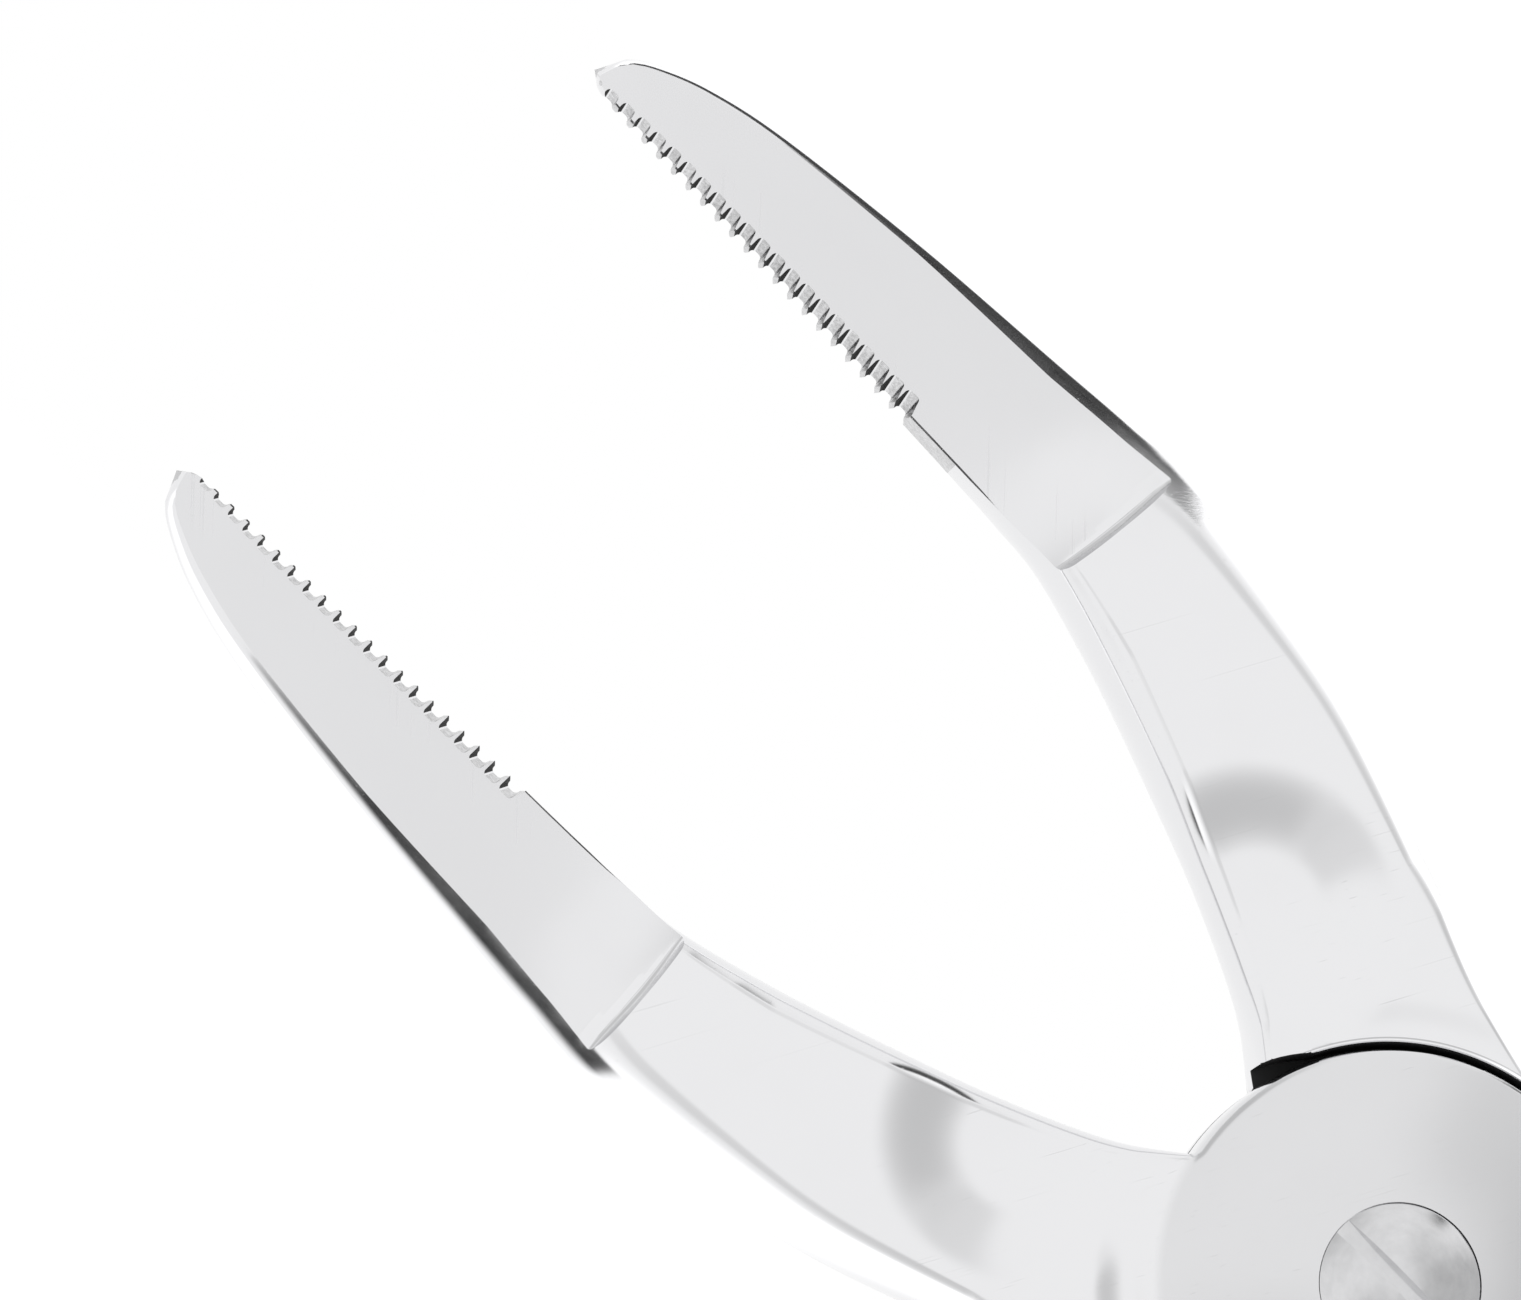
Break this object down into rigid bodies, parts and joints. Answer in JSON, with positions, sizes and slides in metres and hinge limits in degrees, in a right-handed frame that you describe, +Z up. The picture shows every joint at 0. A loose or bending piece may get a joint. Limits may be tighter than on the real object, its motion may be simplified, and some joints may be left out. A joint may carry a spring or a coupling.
{
  "type": "nutcracker",
  "caption": "Plier-type nut and shell cracker: crossed polished levers on a screw joint, slender toothed jaws, return spring in the joint and a swing latch on the handles.",
  "frame": {"origin": "On the pivot axis, at the closed outer face of the pivot nut, which is the plane that the tool rests on.", "axes": "+X along the tool towards the jaw tips, +Y across it towards the front lever's jaw, +Z up along the pivot axis, out of the screw's head."},
  "size_m": [0.1983, 0.0892, 0.0113],
  "materials": {
    "lever_steel": "mirror polished, with ground blade facets",
    "screw_steel": "turned and polished",
    "spring_steel": "oiled, tempered",
    "latch_steel": "stamped and tumbled satin",
    "ring_bronze": "plain"
  },
  "bodies": {
    "front_lever_body": {"front_lever": "lever_steel", "pivot_screw": "screw_steel", "pivot_nut": "screw_steel", "spring_washer": "spring_steel", "thrust_ring": "ring_bronze", "return_spring": "spring_steel", "stop_pin": "screw_steel", "latch_rivet": "screw_steel", "latch_washer": "spring_steel"},
    "back_lever_body": {"back_lever": "lever_steel", "catch_stud": "screw_steel"},
    "latch_body": {"latch": "latch_steel"}
  },
  "joints": [
    {"name": "jaw_hinge", "type": "hinge", "parent": "front_lever_body", "child": "back_lever_body", "pos_m": [0, 0, 0.0044], "axis": [0, 0, 1], "range_deg": [0, 22.8], "stiffness_Nm_per_rad": 0.4, "springref_deg": -28.65, "deforming": ["return_spring"]},
    {"name": "latch_swing", "type": "hinge", "parent": "front_lever_body", "child": "latch_body", "pos_m": [-0.1105, -0.039, 0.0094], "axis": [0, 0, 1], "range_deg": [0, 90]}
  ]
}
